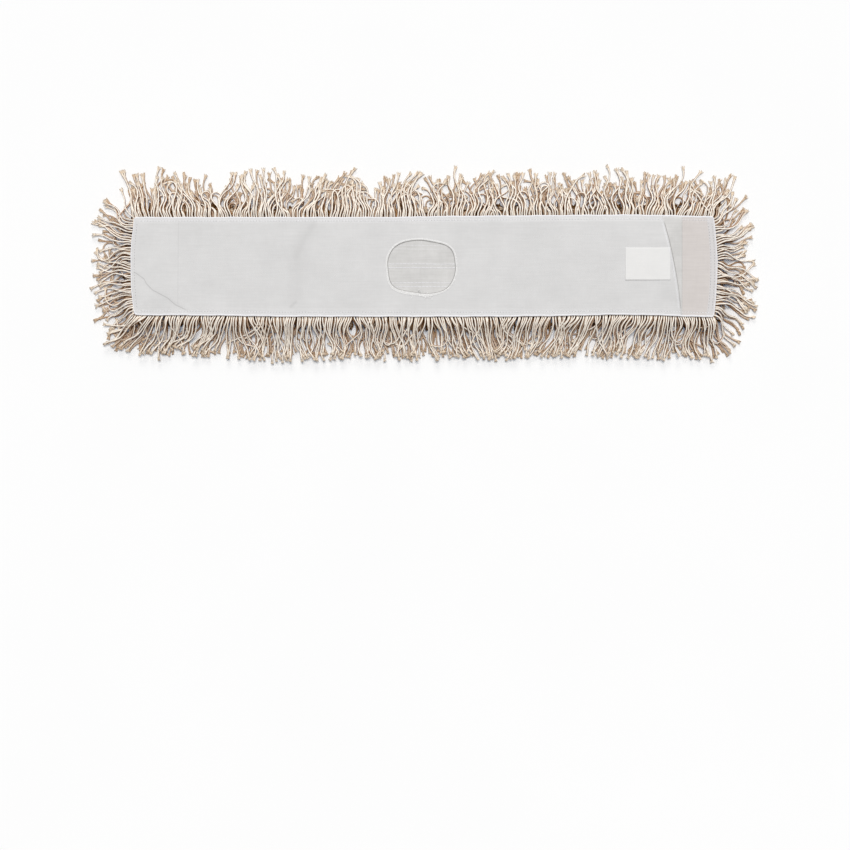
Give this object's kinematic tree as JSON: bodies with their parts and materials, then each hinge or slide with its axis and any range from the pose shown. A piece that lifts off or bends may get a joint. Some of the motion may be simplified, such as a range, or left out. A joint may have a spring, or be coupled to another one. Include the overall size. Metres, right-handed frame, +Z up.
{
  "type": "dust mop head",
  "caption": "Cut-end cotton dust mop head: cloth pocket backing with an oval handle opening, a lifting mouth for the frame, a yarn pile underneath and folding yarn fringes.",
  "frame": {"origin": "on the floor under the middle of the backing, at the centre of the head's footprint", "axes": "+X along the length towards the pocket's mouth, +Y across the width, +Z up out of the pocket side"},
  "size_m": [1.08, 0.316, 0.0311],
  "materials": {
    "white_cloth": "matte",
    "natural_cloth": "matte",
    "thread": "matte",
    "label": "matte",
    "yarn": "matte",
    "pile_yarn": "matte"
  },
  "bodies": {
    "backing": {"base_cloth": "natural_cloth", "pocket_cloth": "white_cloth", "end_panel": "natural_cloth", "end_panel_facing": "white_cloth", "left_end_facing": "white_cloth", "edge_binding": "thread", "opening_overlock": "thread", "seam_stitching_front": "thread", "seam_stitching_back": "thread", "seam_stitching_left": "thread", "seam_stitching_right": "thread", "yarn_row_1": "pile_yarn", "yarn_row_2": "pile_yarn", "yarn_row_3": "pile_yarn", "yarn_row_4": "pile_yarn", "yarn_row_5": "pile_yarn", "row_stitching_1": "thread", "row_stitching_2": "thread", "row_stitching_3": "thread", "row_stitching_4": "thread", "row_stitching_5": "thread"},
    "mouth_flap": {"mouth_flap": "white_cloth", "mouth_hem": "white_cloth", "mouth_hem_stitching": "thread"},
    "care_label": {"care_label": "label"},
    "fringe_front": {"fringe_front": "yarn"},
    "fringe_back": {"fringe_back": "yarn"},
    "fringe_left": {"fringe_left": "yarn"},
    "fringe_right": {"fringe_right": "yarn"}
  },
  "joints": [
    {"name": "mouth_lift", "type": "hinge", "parent": "backing", "child": "mouth_flap", "pos_m": [0.288, 0, 0.0298], "axis": [0, -1, 0], "range_deg": [0, 15]},
    {"name": "label_turn", "type": "hinge", "parent": "mouth_flap", "child": "care_label", "pos_m": [0.3935, 0.003, 0.0309], "axis": [0, 1, 0], "range_deg": [0, 150]},
    {"name": "fringe_front_fold", "type": "hinge", "parent": "backing", "child": "fringe_front", "pos_m": [0, -0.08232, 0.0205], "axis": [-1, 0, 0], "range_deg": [-30, 75]},
    {"name": "fringe_back_fold", "type": "hinge", "parent": "backing", "child": "fringe_back", "pos_m": [0, 0.08232, 0.0205], "axis": [1, 0, 0], "range_deg": [-30, 75]},
    {"name": "fringe_left_fold", "type": "hinge", "parent": "backing", "child": "fringe_left", "pos_m": [-0.47232, 0, 0.0205], "axis": [0, 1, 0], "range_deg": [-30, 75]},
    {"name": "fringe_right_fold", "type": "hinge", "parent": "backing", "child": "fringe_right", "pos_m": [0.47232, 0, 0.0205], "axis": [0, -1, 0], "range_deg": [-30, 75]}
  ]
}
